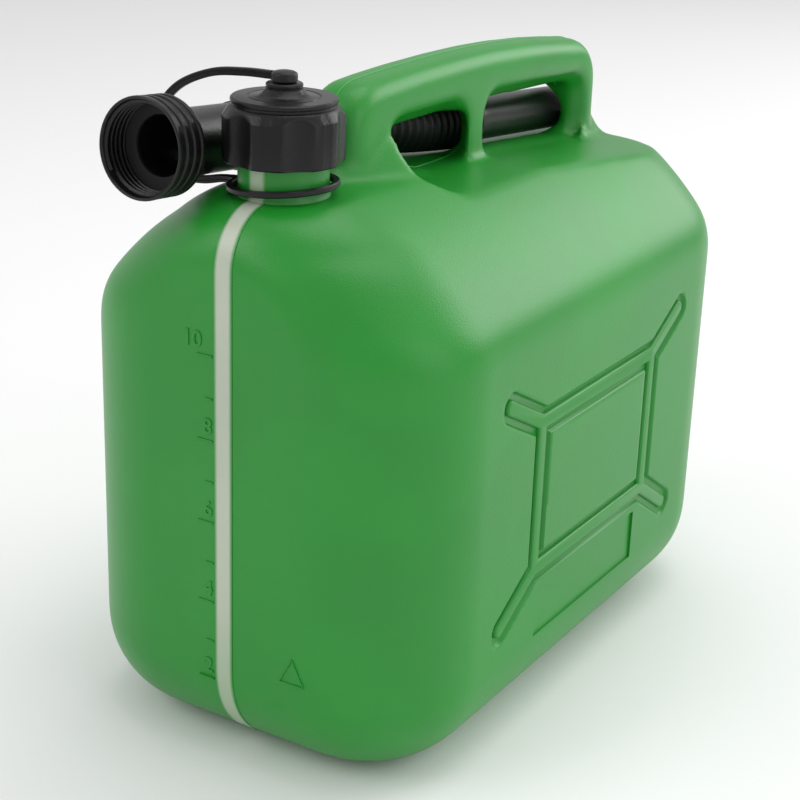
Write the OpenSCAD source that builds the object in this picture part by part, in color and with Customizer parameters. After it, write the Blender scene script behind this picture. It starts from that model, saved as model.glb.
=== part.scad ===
// Ten-litre plastic fuel can: a blow-moulded tank with a handle, a screw cap on a
// captive strap, and a flexible pouring spout stored beside the handle.
// Origin: middle of the underside. +Z up, the filler neck towards -Y.

/* [Tank] */
// Width of the tank across the long sides
tank_w = 185; // [165:1:220]
// Length of the tank, front to back
tank_l = 317; // [300:1:380]
// Height of the flat sides, up to where the shoulders start to turn
side_h = 183; // [150:1:225]
// Radius of the upright corners
corner_r = 54; // [30:1:60]
// Radius of the turn between the sides and the underside
foot_r = 44; // [20:1:50]
// Radius of the turn from the side into the sloped shoulder
shoulder_r = 30; // [15:1:36]
// Radius of the crown above the sloped shoulder
crown_r = 170; // [150:1:220]
// Radius over the front and back ends of the crown
end_r = 24; // [16:1:30]
// Wall thickness of the blow-moulded shell
wall = 2.2; // [1.6:0.1:3.5]

/* [Handle] */
// Width of the handle across the hand
handle_w = 28; // [24:1:34]
// Depth of the grip bar
grip_h = 25; // [22:1:30]
// Clear height of the hand opening under the grip
hand_gap = 25; // [22:1:34]
// Length of the front hand opening
front_gap_l = 69; // [60:1:72]
// Length of the rear hand opening
rear_gap_l = 94; // [85:1:98]
// Thickness of the post between the two openings, front to back
post_t = 16; // [12:1:24]

/* [Filler neck] */
// Distance of the neck from the front end of the tank
neck_set = 41; // [36:1:44]
// Outer radius of the neck between the threads
neck_r = 17.6; // [16:0.1:18]
// Height of the neck above the crown
neck_h = 34; // [30:0.5:35]
// Wall of the neck
neck_wall = 2.6; // [2:0.1:3.5]
// Distance from one thread turn to the next
thread_pitch = 4.5; // [4:0.1:5]
// How far the thread stands out
thread_d = 1.0; // [0.8:0.05:1.2]
// Number of thread turns
thread_turns = 3; // [2:1:3]

/* [Cap] */
// Height of the fluted skirt of the cap
cap_h = 22; // [20:0.5:23]
// Outer radius of the skirt
cap_r = 24.8; // [24:0.1:25.2]
// Number of finger flutes round the skirt
cap_flutes = 6; // [4:1:8]
// Depth of a flute
flute_d = 2; // [1:0.1:2.2]
// Radial clearance between the thread crests of the neck, the cap and the cup
thread_gap = 0.1; // [0.1:0.05:0.3]

/* [Tether] */
// Width of the strap along the can
strap_w = 2.6; // [2:0.1:4]
// Thickness of the strap in the plane of its hoop
strap_t = 3.4; // [2.5:0.1:3.6]
// How far the hoop of the strap reaches out from the neck
strap_reach = 66; // [64:1:72]

/* [Spout] */
// Outer radius of the threaded cup
cup_r = 20.8; // [20.2:0.1:21]
// Length of the threaded cup
cup_l = 16; // [15:0.5:20]
// Length of the smooth sleeve between the cup and the bellows
sleeve_l = 43; // [36:1:45]
// Wall of the spout
spout_wall = 1.8; // [1.4:0.1:2]
// Outer radius of the smooth sleeve behind the cup
sleeve_r = 14; // [13:0.5:14.5]
// Outer radius over the bellows
bellows_r = 13; // [12:0.5:13.5]
// Distance from one fold of the bellows to the next
bellows_pitch = 4.6; // [4:0.1:5]
// Number of folds
bellows_folds = 30; // [26:1:31]
// Outer radius of the nozzle
nozzle_r = 10.7; // [9:0.1:11]
// Length of the nozzle
nozzle_l = 97; // [80:1:98]
// How far the cup lies to the side of the neck
cup_side = 42; // [41:0.1:48]
// How far the nozzle lies to the side of the handle's middle
nozzle_side = 11; // [10:0.5:14]
// Slope of the stored spout, degrees down towards the back
spout_tilt = 4.8; // [3:0.1:5]

/* [View stripe] */
// Width of the translucent stripe
stripe_w = 7; // [5:0.5:10]
// Depth of the stripe in the wall
stripe_t = 1.2; // [0.8:0.1:1.4]

/* [Hidden] */
$fn = 64;

// Shoulder and crown: the slope where the two arcs meet, and where the flat ridge begins
slope_low = 49;
slope_high = 27;
ridge_r = 20;
shoulder_top_z = side_h + shoulder_r * sin(90 - slope_low);
shoulder_top_in = shoulder_r * (1 - cos(90 - slope_low));
crown_zc = shoulder_top_z - crown_r * cos(slope_low);
crown_ic = shoulder_top_in + crown_r * sin(slope_low);
ridge_ic = crown_ic - (crown_r - ridge_r) * sin(slope_high);
ridge_zc = crown_zc + (crown_r - ridge_r) * cos(slope_high);
crown_z = ridge_zc + ridge_r;
end_zc = crown_z - end_r;

// Handle and hand openings
sill_z = crown_z - 8.6;
grip_top = sill_z + hand_gap + grip_h;
post_y0 = 8;
post_y1 = post_y0 + post_t;
gap_y0 = post_y0 - front_gap_l;
gap_y1 = post_y1 + rear_gap_l;
handle_y0 = gap_y0 - 27;
handle_y1 = gap_y1 + 32;

// Neck, cap and tether
neck_y = -tank_l / 2 + neck_set;
neck_bore_r = neck_r - neck_wall;
neck_top = crown_z + neck_h;
thread_r = neck_r + thread_d;
seal_t = 1.8;
cap_top_z = neck_top + seal_t;
cap_z0 = cap_top_z - cap_h;
cap_root_r = thread_r + thread_gap + 1.3;
disc_r = 21.6;
disc_t = 3.4;
flute_r = 17;
flute_turn = 19;
boss_h = 5.6;
eye_z = cap_top_z + disc_t + boss_h + 0.3;
eye_t = 4.4;
eye_r = 5.3;
stud_r = 2.8;
ring_in = neck_r + 2.6;
ring_out = ring_in + 2.8;
ring_t = 2.6;
ring_tilt = 4;
ring_z = crown_z + 2.4;
strap_y = neck_y;

// Spout: places along the can, measured on its middle line
cup_y = neck_y - 39;
cup_z = crown_z + 18.6;
cup_shoulder_l = 6;
sleeve_y = cup_y + cup_l + cup_shoulder_l;
bellows_y = sleeve_y + sleeve_l;
bellows_l = bellows_folds * bellows_pitch;
nozzle_y = bellows_y + bellows_l;
nozzle_end_y = nozzle_y + nozzle_l;
groove_gap = 1;
groove_end_gap = 3;
groove_out = 80;

function smooth(t) = let (u = min(1, max(0, t))) u * u * (3 - 2 * u);
function spout_x(y) = -cup_side + (cup_side - nozzle_side) * smooth((y - bellows_y) / bellows_l);
function spout_z(y) = cup_z - (y - cup_y) * tan(spout_tilt);

// Height of the top of the handle along the can
function handle_top(y) =
    let (u = (y - 5) / 80)
    grip_top - (u < 0 ? 2.2 : 3.4) * u * u;

// A round-cornered rectangle of points at one height: half width a, ends y0 and y1
function outline(a, y0, y1, rc, z, n = 9) = [
    for (q = [0:3], k = [0:n])
        let (
            t = 90 * q + 90 * k / n,
            cx = (q == 0 || q == 3) ? a - rc : rc - a,
            cy = q < 2 ? y1 - rc : y0 + rc
        )
        [cx + rc * cos(t), cy + rc * sin(t), z]
];

// How far the front and back ends stand in at height z, for a skin w inside the outside
function end_in(z, w) =
    z <= end_zc ? w : end_r - sqrt(max(0, pow(end_r - w, 2) - pow(z - end_zc, 2)));

// [height, side inset, end inset, corner radius] from the underside to the ridge
function tank_rings(w) = concat(
    [for (t = [90:-15:0])
        let (i = foot_r - (foot_r - w) * cos(t))
        [foot_r - (foot_r - w) * sin(t), i, i, max(4, corner_r - i)]],
    [for (t = [0:10:30])
        let (i = shoulder_r - (shoulder_r - w) * cos(t), z = side_h + (shoulder_r - w) * sin(t))
        [z, i, end_in(z, w), corner_r - w]],
    [for (t = [slope_low:-2:slope_high])
        let (i = crown_ic - (crown_r - w) * sin(t), z = crown_zc + (crown_r - w) * cos(t))
        [z, i, end_in(z, w), min(corner_r - w, tank_w / 2 - i - 1)]],
    [for (t = [slope_high - 7:-10:0])
        let (i = ridge_ic - (ridge_r - w) * sin(t), z = ridge_zc + (ridge_r - w) * cos(t))
        [z, i, end_in(z, w), tank_w / 2 - i - 1]]
);

// Closed skin through a stack of rings, each with the same number of points
module skin(rings) {
    n = len(rings[0]);
    m = len(rings);
    polyhedron(
        points = [for (r = rings) each r],
        faces = concat(
            [[for (k = [0:n - 1]) k]],
            [for (j = [0:m - 2], k = [0:n - 1])
                [j * n + k, (j + 1) * n + k, (j + 1) * n + (k + 1) % n, j * n + (k + 1) % n]],
            [[for (k = [n - 1:-1:0]) (m - 1) * n + k]]
        ),
        convexity = 4
    );
}

module tank_skin(w) {
    skin([for (r = tank_rings(w))
        outline(tank_w / 2 - r[1], -tank_l / 2 + r[2], tank_l / 2 - r[2], r[3], r[0])]);
}

// Side view of the handle, rounded at both ends and standing in by d
module handle_side(d) {
    step = (handle_y1 - handle_y0) / 10;
    offset(20 - d)
        offset(delta = -20)
            polygon(concat(
                [for (k = [0:10]) let (y = handle_y0 + k * step) [y, handle_top(y)]],
                [[handle_y1, sill_z - 48], [handle_y0, sill_z - 48]]
            ));
}

module handle_solid() {
    r = 9;
    rotate([90, 0, 90])
        hull()
            for (t = [0:18:90])
                linear_extrude(handle_w - 2 * r * (1 - sin(t)), center = true)
                    handle_side(r * (1 - cos(t)));
}

// Cutter for one hand opening: an outline in the side view, carried across the can
module across(points, r, grow = 0) {
    rotate([90, 0, 90])
        linear_extrude(2 * tank_w, center = true)
            offset(r + grow, $fn = 24) offset(delta = -r) polygon(points);
}

module hand_openings() {
    under = grip_h;
    across([
        [gap_y0, handle_top(gap_y0) - under], [gap_y0, sill_z - 20], [post_y0, sill_z - 20],
        [post_y0, handle_top(post_y0) - under]
    ], 6);
    across([
        [post_y1, handle_top(post_y1) - under], [post_y1, sill_z - 20],
        [gap_y1, sill_z - 28], [gap_y1, handle_top(gap_y1) - under]
    ], 6);
}

// The flat shelf cut into the crown beside the handle, from the front wall to the back
module crown_shelf(grow = 0) {
    across([
        [gap_y0, sill_z + 60], [gap_y0, sill_z + 15], [gap_y0 + 19, sill_z],
        [post_y1 - 5, sill_z], [tank_l, sill_z - 8 * (tank_l - post_y1) / rear_gap_l],
        [tank_l, sill_z + 60]
    ], 6, grow);
}

// One slice of the channel that the spout lies in, open to the far side
module groove_slice(y, r) {
    translate([spout_x(y), y, spout_z(y)])
        rotate([90, 0, 0])
            linear_extrude(1, center = true)
                union() {
                    circle(r, $fn = 32);
                    translate([-groove_out, -r]) square([groove_out, 2 * r]);
                }
}

module spout_channel(grow = 0) {
    wide = bellows_r + groove_gap + grow;
    narrow = nozzle_r + groove_gap + grow;
    y0 = gap_y0 - 20;
    n = 6;
    step = (nozzle_y - y0) / n;
    for (k = [0:n - 1])
        hull() {
            groove_slice(y0 + k * step, wide);
            groove_slice(y0 + (k + 1) * step, wide);
        }
    hull() {
        groove_slice(nozzle_y, narrow);
        groove_slice(nozzle_end_y + groove_end_gap + grow, narrow);
    }
}

module stripe_zone(grow = 0) {
    w = stripe_w + 2 * grow;
    translate([-w / 2, -tank_l, 4 - grow])
        cube([w, tank_l + neck_y - ring_out + 2, crown_z - 4.2]);
}

module tank() {
    color("forestgreen")
        difference() {
            union() {
                difference() {
                    tank_skin(0);
                    crown_shelf();
                }
                difference() {
                    handle_solid();
                    hand_openings();
                }
            }
            difference() {
                tank_skin(wall);
                crown_shelf(wall);
                spout_channel(wall);
            }
            spout_channel();
            translate([0, neck_y, crown_z - 20]) cylinder(h = 40, r = neck_bore_r);
            intersection() {
                difference() {
                    tank_skin(-1);
                    tank_skin(stripe_t);
                }
                stripe_zone();
            }
        }
}

module view_stripe() {
    color("honeydew")
        intersection() {
            difference() {
                tank_skin(0);
                tank_skin(stripe_t - 0.05);
            }
            stripe_zone(-0.05);
        }
}

module neck_place(z) {
    translate([0, neck_y, z]) children();
}

module filler_neck() {
    first = neck_top - 3 - (thread_turns - 1) * thread_pitch;
    color("forestgreen")
        neck_place(crown_z)
            rotate_extrude() {
                translate([neck_bore_r, 0]) square([neck_wall, neck_h]);
                translate([neck_bore_r, 0]) square([neck_wall + 0.9, first - crown_z - 4]);
                for (k = [0:thread_turns - 1])
                    translate([neck_r, first - crown_z + k * thread_pitch])
                        polygon([[-0.5, -1.5], [thread_d, -0.5], [thread_d, 0.5], [-0.5, 1.5]]);
            }
}

// Outside of the cap in half section, from the skirt up to the stud
cap_profile = [
    [0, 0], [cap_r - 0.6, 0], [cap_r, 0.8], [cap_r, cap_h - 3], [disc_r + 0.2, cap_h],
    [disc_r - 0.4, cap_h + 0.3], [disc_r - 0.4, cap_h + 1.4], [disc_r, cap_h + 1.8],
    [disc_r, cap_h + disc_t - 0.8], [disc_r - 0.8, cap_h + disc_t], [10.4, cap_h + disc_t],
    [7.4, cap_h + disc_t + 3], [7.4, cap_h + disc_t + boss_h - 0.8],
    [6.6, cap_h + disc_t + boss_h], [stud_r, cap_h + disc_t + boss_h],
    [stud_r, cap_h + disc_t + boss_h + eye_t - 1.2], [0, cap_h + disc_t + boss_h + eye_t - 1.2]
];

module screw_cap() {
    color([0.08, 0.08, 0.08])
        neck_place(cap_z0)
            difference() {
                rotate_extrude() polygon(cap_profile);
                for (k = [0:cap_flutes - 1])
                    rotate(flute_turn + 360 * k / cap_flutes)
                        translate([cap_r - flute_d + flute_r, 0, -1])
                            cylinder(h = cap_h + 0.8, r = flute_r);
                translate([0, 0, -1]) cylinder(h = cap_h + 1, r = cap_root_r);
            }
}

module cap_gasket() {
    color("gray")
        neck_place(neck_top)
            difference() {
                cylinder(h = seal_t, r = cap_root_r - 0.6);
                translate([0, 0, -1]) cylinder(h = seal_t + 2, r = neck_bore_r - 3);
            }
}

module tether_ring() {
    color([0.08, 0.08, 0.08])
        neck_place(ring_z)
            rotate([0, -ring_tilt, 0])
                difference() {
                    cylinder(h = ring_t, r = ring_out);
                    translate([0, 0, -1]) cylinder(h = ring_t + 2, r = ring_in);
                }
}

module tether_eye() {
    color([0.08, 0.08, 0.08])
        neck_place(eye_z)
            rotate_extrude()
                polygon([[stud_r + 0.2, 0], [eye_r, 0], [eye_r, eye_t - 1.2], [3.6, eye_t],
                    [0, eye_t], [0, eye_t - 0.9], [stud_r + 0.2, eye_t - 0.9]]);
}

// Hoop of the strap in the front view, from the ring round the spout up to the eye
strap_route = [
    [-ring_out - 0.03, ring_z - 0.3], [-31, ring_z - 1.2], [-41, ring_z - 3.2],
    [-52, ring_z - 3], [-strap_reach + 3.5, ring_z + 3], [-strap_reach, ring_z + 14],
    [-strap_reach + 4, ring_z + 26], [-52, ring_z + 37], [-36, eye_z + 1.5],
    [-20, eye_z + 2.9], [-eye_r - 0.4, eye_z + 2]
];

// A point on a smooth curve through a list of points
function curve_at(p, s) =
    let (
        n = len(p) - 1,
        k = min(n - 1, floor(s)),
        t = s - k,
        a = p[max(0, k - 1)], b = p[k], c = p[k + 1], d = p[min(n, k + 2)]
    )
    0.5 * (2 * b + (c - a) * t + (2 * a - 5 * b + 4 * c - d) * t * t
        + (3 * b - a - 3 * c + d) * t * t * t);

function side_step(p, s, h) =
    let (d = curve_at(p, s + 0.01) - curve_at(p, s - 0.01), l = norm(d))
    curve_at(p, s) + h * [-d[1], d[0]] / l;

module tether_strap() {
    n = 4 * (len(strap_route) - 1);
    last = len(strap_route) - 1;
    function at(k) = min(last - 0.011, max(0.011, last * k / n));
    color([0.08, 0.08, 0.08])
        translate([0, strap_y + strap_w / 2, 0])
            rotate([90, 0, 0])
                linear_extrude(strap_w)
                    polygon(concat(
                        [for (k = [0:n]) side_step(strap_route, at(k), strap_t / 2)],
                        [for (k = [n:-1:0]) side_step(strap_route, at(k), -strap_t / 2)]
                    ));
}

// Places a piece of the spout on its middle line, +Z towards the mouth of the cup
module spout_place(y) {
    translate([spout_x(y), y, spout_z(y)]) rotate([90 - spout_tilt, 0, 0]) children();
}

// Half section of the cup and its sleeve: [distance from the axis, place along it]
function cup_section(deep, l, all) =
    let (
        root = cup_r - 0.8,
        in_r = thread_r + 0.5,
        bore = sleeve_r - spout_wall,
        rib_step = deep / 3.4
    )
    concat(
        [[cup_r, 0], [cup_r, -2.5], [root, -3.3]],
        [for (k = [0:2], q = [[0, 0], [0.7, -0.7], [0.7, -2], [0, -2.7]])
            [root + q[0], -4.4 - k * rib_step + q[1]]],
        [[root, -deep], [sleeve_r + 3, 2 - l], [sleeve_r, -l], [sleeve_r, 3 - all],
            [sleeve_r + 0.6, 3 - all], [sleeve_r + 0.6, -all], [bore, -all],
            [bore, -1 - deep], [in_r, 1 - deep], [in_r, 0]]
    );

module spout_cup() {
    deep = cup_l / cos(spout_tilt);
    l = (sleeve_y - cup_y) / cos(spout_tilt);
    color([0.08, 0.08, 0.08])
        spout_place(cup_y)
            rotate_extrude() polygon(cup_section(deep, l, l + sleeve_l / cos(spout_tilt)));
}

module spout_gasket() {
    deep = cup_l / cos(spout_tilt);
    color("gray")
        spout_place(cup_y)
            translate([0, 0, 1 - deep])
                difference() {
                    cylinder(h = seal_t, r = thread_r + 0.4);
                    translate([0, 0, -1]) cylinder(h = seal_t + 2, r = sleeve_r - spout_wall);
                }
}

function ring_of(y, r, n) = [
    for (k = [0:n - 1])
        let (t = 360 * k / n)
        [spout_x(y) + r * cos(t), y, spout_z(y) - r * sin(t)]
];

module spout_bellows() {
    n = 24;
    gap = 0.3;
    function fold(k) = k % 2 == 0 ? bellows_r - 2 : bellows_r;
    outer = [for (k = [0:2 * bellows_folds])
        ring_of(bellows_y + gap + (bellows_l - 2 * gap) * k / (2 * bellows_folds), fold(k), n)];
    inner = [for (k = [0:10])
        ring_of(bellows_y - 1 + (bellows_l + 2) * k / 10, bellows_r - 2 - spout_wall, n)];
    color([0.08, 0.08, 0.08])
        difference() {
            skin(outer);
            skin(inner);
        }
}

module spout_nozzle() {
    l = (nozzle_l - 1.3) / cos(spout_tilt);
    color([0.08, 0.08, 0.08])
        spout_place(nozzle_y + 1.3)
            rotate_extrude()
                difference() {
                    polygon([[0, 0], [nozzle_r, 0], [nozzle_r, -l + 6], [nozzle_r - 1.2, -l],
                        [0, -l]]);
                    translate([-1, -l - 1]) square([nozzle_r - spout_wall + 1, l + 2]);
                }
}

tank();
view_stripe();
filler_neck();
screw_cap();
cap_gasket();
tether_ring();
tether_strap();
tether_eye();
spout_cup();
spout_gasket();
spout_bellows();
spout_nozzle();
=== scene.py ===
import math

import bmesh
import bpy
from mathutils import Matrix, Vector
from mathutils.bvhtree import BVHTree


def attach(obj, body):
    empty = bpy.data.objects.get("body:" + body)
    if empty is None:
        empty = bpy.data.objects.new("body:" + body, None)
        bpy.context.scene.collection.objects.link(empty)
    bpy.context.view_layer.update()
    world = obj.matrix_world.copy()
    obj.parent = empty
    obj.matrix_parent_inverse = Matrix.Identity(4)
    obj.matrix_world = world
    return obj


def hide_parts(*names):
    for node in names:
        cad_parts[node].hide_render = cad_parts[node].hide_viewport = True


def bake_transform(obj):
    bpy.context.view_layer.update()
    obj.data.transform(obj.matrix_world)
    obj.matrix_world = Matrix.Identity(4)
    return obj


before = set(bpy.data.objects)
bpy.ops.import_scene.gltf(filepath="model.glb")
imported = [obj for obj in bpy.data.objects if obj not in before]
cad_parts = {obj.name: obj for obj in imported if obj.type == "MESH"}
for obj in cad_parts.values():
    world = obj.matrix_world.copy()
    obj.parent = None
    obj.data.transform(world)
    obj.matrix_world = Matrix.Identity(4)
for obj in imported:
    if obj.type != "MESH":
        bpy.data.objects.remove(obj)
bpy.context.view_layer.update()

# Tank: one hollow blow-moulded shell of green polyethylene, with the grip moulded on top.
# Its walls are straight up to a round shoulder that runs in to a narrow crown.
# The grip's roots flow into the crown, and a flat shelf lies under the hand openings.

HALF_W, HALF_L, SIDE_H = 92.5, 158.5, 183.0
CORNER_R, FOOT_R, SHOULDER_R = 54.0, 44.0, 30.0
CROWN_R, RIDGE_R, END_R = 170.0, 20.0, 24.0
SLOPE_LOW, SLOPE_HIGH = math.radians(49), math.radians(27)

shoulder_in = SHOULDER_R * (1 - math.sin(SLOPE_LOW))
shoulder_z = SIDE_H + SHOULDER_R * math.cos(SLOPE_LOW)
arc_z = shoulder_z - CROWN_R * math.cos(SLOPE_LOW)
arc_in = shoulder_in + CROWN_R * math.sin(SLOPE_LOW)
ridge_in = arc_in - (CROWN_R - RIDGE_R) * math.sin(SLOPE_HIGH)
ridge_z = arc_z + (CROWN_R - RIDGE_R) * math.cos(SLOPE_HIGH)
CROWN_Z = ridge_z + RIDGE_R
SILL_Z = CROWN_Z - 8.6
GRIP_TOP = SILL_Z + 50


def side_in(z):
    """How far the long side stands in at height z."""
    if z < FOOT_R:
        return FOOT_R - math.sqrt(max(0, FOOT_R**2 - (FOOT_R - z) ** 2))
    if z <= SIDE_H:
        return 0.0
    if z < shoulder_z:
        return SHOULDER_R - math.sqrt(SHOULDER_R**2 - (z - SIDE_H) ** 2)
    slope = math.acos(min(1, (z - arc_z) / CROWN_R))
    if slope > SLOPE_HIGH:
        return arc_in - CROWN_R * math.sin(slope)
    return ridge_in - math.sqrt(max(0, RIDGE_R**2 - (z - ridge_z) ** 2))


def end_in(z):
    """How far the front and the back stand in at height z."""
    if z < FOOT_R:
        return side_in(z)
    rise = z - (CROWN_Z - END_R)
    return END_R - math.sqrt(max(0, END_R**2 - rise**2)) if rise > 0 else 0.0


def grip_top(y):
    u = (y - 5) / 80
    return GRIP_TOP - 0.8 - (2.2 if u < 0 else 3.4) * u * u


def made(bm, name, place=None):
    """Turns a bmesh in millimetres into a finished object at the origin, in metres."""
    if place:
        bmesh.ops.transform(bm, matrix=place, verts=bm.verts)
    bmesh.ops.scale(bm, vec=(0.001, 0.001, 0.001), verts=bm.verts)
    mesh = bpy.data.meshes.new(name)
    bm.to_mesh(mesh)
    bm.free()
    mesh.shade_smooth()
    mesh.set_sharp_from_angle(angle=math.radians(38))
    piece = bpy.data.objects.new(name, mesh)
    bpy.context.scene.collection.objects.link(piece)
    return piece


def block(outline, half_width, round_r=0, segments=6):
    """A slab with this outline in the side view, its outline corners rounded."""
    bm = bmesh.new()
    bm.faces.new([bm.verts.new((-half_width, y, z)) for y, z in outline])
    if round_r:
        bmesh.ops.bevel(
            bm, geom=bm.verts[:], offset=round_r, offset_type="OFFSET", segments=segments,
            profile=0.5, material=-1, affect="VERTICES",
        )
    grown = bmesh.ops.extrude_face_region(bm, geom=bm.faces[:])
    moved = [g for g in grown["geom"] if isinstance(g, bmesh.types.BMVert)]
    bmesh.ops.translate(bm, vec=(2 * half_width, 0, 0), verts=moved)
    bmesh.ops.recalc_face_normals(bm, faces=bm.faces)
    return bm


def worked(piece, *steps):
    """Applies modifiers, each given as a type and its settings, to the piece's mesh."""
    for kind, settings in steps:
        mod = piece.modifiers.new(kind, kind)
        for key, value in settings.items():
            setattr(mod, key, value)
    bpy.context.view_layer.update()
    done = piece.evaluated_get(bpy.context.evaluated_depsgraph_get())
    mesh = bpy.data.meshes.new_from_object(done)
    piece.modifiers.clear()
    old, piece.data = piece.data, mesh
    bpy.data.meshes.remove(old)
    return piece


def cut(piece, tool):
    return worked(piece, ("BOOLEAN", {"operation": "DIFFERENCE", "object": tool}))


# The body: a block whose upright edges are rounded, sliced level by level, and each slice drawn in
shell = bmesh.new()
bmesh.ops.create_cube(shell, size=1)
bmesh.ops.scale(shell, vec=(2 * HALF_W, 2 * HALF_L, CROWN_Z), verts=shell.verts)
bmesh.ops.translate(shell, vec=(0, 0, CROWN_Z / 2), verts=shell.verts)
uprights = [e for e in shell.edges if abs(e.verts[0].co.z - e.verts[1].co.z) > 1]
bmesh.ops.bevel(
    shell, geom=uprights, offset=CORNER_R, offset_type="OFFSET", segments=20,
    profile=0.5, material=-1, affect="EDGES",
)
levels = [FOOT_R * (1 - math.sin(math.radians(t))) for t in range(6, 90, 6)] + [FOOT_R]
levels += [SIDE_H + SHOULDER_R * math.sin(math.radians(t)) for t in range(0, 41, 5)]
levels += [arc_z + CROWN_R * math.cos(math.radians(t)) for t in range(48, 27, -1)]
levels += [ridge_z + RIDGE_R * math.cos(math.radians(t)) for t in range(27, 0, -5)]
for z in levels:
    bmesh.ops.bisect_plane(
        shell, geom=shell.verts[:] + shell.edges[:] + shell.faces[:],
        plane_co=(0, 0, z), plane_no=(0, 0, 1),
    )
flat_x, flat_y = HALF_W - CORNER_R, HALF_L - CORNER_R
for v in shell.verts:
    across, along, z = abs(v.co.x), abs(v.co.y), v.co.z
    a, b = HALF_W - side_in(z), HALF_L - end_in(z)
    r = max(4, CORNER_R - side_in(z)) if z < FOOT_R else min(CORNER_R, a - 1)
    x = min(across / flat_x, 1) * (a - r) + max(across - flat_x, 0) / CORNER_R * r
    y = min(along / flat_y, 1) * (b - r) + max(along - flat_y, 0) / CORNER_R * r
    v.co.x, v.co.y = math.copysign(x, v.co.x), math.copysign(y, v.co.y)
body = made(shell, "body_blank")

# The grip and its two roots, which widen down to the crown
GRIP_Y0, GRIP_Y1, GRIP_HALF = -88.0, 142.5, 14.0
tops = [(y, grip_top(y)) for y in (GRIP_Y0, -60, -30, 0, 30, 60, 90, 118, GRIP_Y1)]
grip_bm = block([(GRIP_Y1, 205), (GRIP_Y0, 205)] + tops, GRIP_HALF)
end_edges = [
    e for e in grip_bm.edges
    if abs(e.verts[0].co.x - e.verts[1].co.x) > 1 and e.verts[0].co.z > 262
    and (e.verts[0].co.y < GRIP_Y0 + 2 or e.verts[0].co.y > GRIP_Y1 - 2)
]
bmesh.ops.bevel(
    grip_bm, geom=end_edges, offset=19, offset_type="OFFSET", segments=6, profile=0.5,
    material=-1, affect="EDGES", clamp_overlap=True,
)
long_edges = [
    e for e in grip_bm.edges
    if len(e.link_faces) == 2 and max(v.co.z for v in e.verts) > 240
    and sorted(abs(f.normal.x) > 0.9 for f in e.link_faces) == [False, True]
]
bmesh.ops.bevel(
    grip_bm, geom=long_edges, offset=9, offset_type="OFFSET", segments=5, profile=0.5,
    material=-1, affect="EDGES", clamp_overlap=True,
)
grip_blank = made(grip_bm, "grip_blank")


def root(y_in, y_out, z_in, z_out, wide_in, wide_out):
    """A wedge between the grip and the crown, tall and wide on its inner side."""
    bm = bmesh.new()
    bmesh.ops.create_cube(bm, size=2)
    for v in bm.verts:
        inner, top = v.co.y > 0, v.co.z > 0
        wide = wide_in if inner else wide_out
        v.co.x *= 9 if top else wide
        v.co.y = y_in if inner else y_out
        v.co.z = (z_in if inner else z_out) if top else 222
    bmesh.ops.recalc_face_normals(bm, faces=bm.faces)
    return bm


front_root = made(root(-58, -96, 270, 248, 46, 20), "front_root")
rear_root = made(root(120, 157, 262, 228, 20, 16), "rear_root")

# What is taken away: the two hand openings, with rounded rims, and the bed that the spout lies in


RIM_R, FLARE = 7.0, 6.0


def opening(outline):
    """A cutter right through, whose rounded outline narrows by FLARE inside the grip."""
    bm = bmesh.new()
    corners = [Vector(p) for p in outline]
    spots = []
    for k, corner in enumerate(corners):
        back = (corners[k - 1] - corner).normalized()
        on = (corners[(k + 1) % len(corners)] - corner).normalized()
        inward = (back + on).normalized()
        middle = corner + inward * (RIM_R + FLARE) / abs(inward.cross(on))
        out_a = (inward.dot(back) * back - inward).normalized()
        out_b = (inward.dot(on) * on - inward).normalized()
        for step in range(9):
            spots.append((middle, out_a.slerp(out_b, step / 8)))
    half = [(GRIP_HALF + 1, 0.0), (GRIP_HALF, 0.0)]
    half += [(GRIP_HALF - FLARE * math.sin(t), FLARE * (1 - math.cos(t)))
             for t in [math.radians(a) for a in (20, 40, 60, 90)]]
    stations = half + [(-x, shrink) for x, shrink in reversed(half)]
    bmesh.ops.create_circle(bm, segments=len(spots), radius=1, cap_ends=False)
    ring, edges = bm.verts[:], bm.edges[:]
    for k, (x, shrink) in enumerate(stations):
        if k:
            grown = bmesh.ops.extrude_edge_only(bm, edges=edges)
            ring = [g for g in grown["geom"] if isinstance(g, bmesh.types.BMVert)]
            edges = [g for g in grown["geom"] if isinstance(g, bmesh.types.BMEdge)]
        for v, (middle, out) in zip(ring, spots):
            spot = middle + out * (RIM_R + FLARE - shrink)
            v.co = (x, spot.x, spot.y)
    bmesh.ops.holes_fill(bm, edges=bm.edges[:], sides=0)
    bmesh.ops.recalc_face_normals(bm, faces=bm.faces)
    return bm


GAP_Y0 = -61.0
front_cut = made(opening(
    [(GAP_Y0, 261 + FLARE), (GAP_Y0, SILL_Z - 4), (8, SILL_Z - 4), (8, 261 + FLARE)]), "front_cut")
rear_cut = made(opening(
    [(23, grip_top(26) - 24 + FLARE), (23, SILL_Z - 4),
     (128, SILL_Z - 13), (128, grip_top(118) - 22 + FLARE)]), "rear_cut")

SPOUT_TILT = math.radians(4.8)
NECK_Y = -117.5
CUP_Y, CUP_Z, CUP_SIDE, NOZZLE_SIDE = NECK_Y - 39, CROWN_Z + 18.6, 42.0, 11.0
SLEEVE_Y = CUP_Y + 22
BELLOWS_Y = SLEEVE_Y + 43
NOZZLE_Y = BELLOWS_Y + 138
NOZZLE_END_Y = NOZZLE_Y + 97


def spout_mid(y):
    """Middle line of the stored spout."""
    t = min(1, max(0, (y - BELLOWS_Y) / (NOZZLE_Y - BELLOWS_Y)))
    x = (CUP_SIDE - NOZZLE_SIDE) * t * t * (3 - 2 * t) - CUP_SIDE
    return Vector((x, y, CUP_Z - (y - CUP_Y) * math.tan(SPOUT_TILT)))


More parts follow.
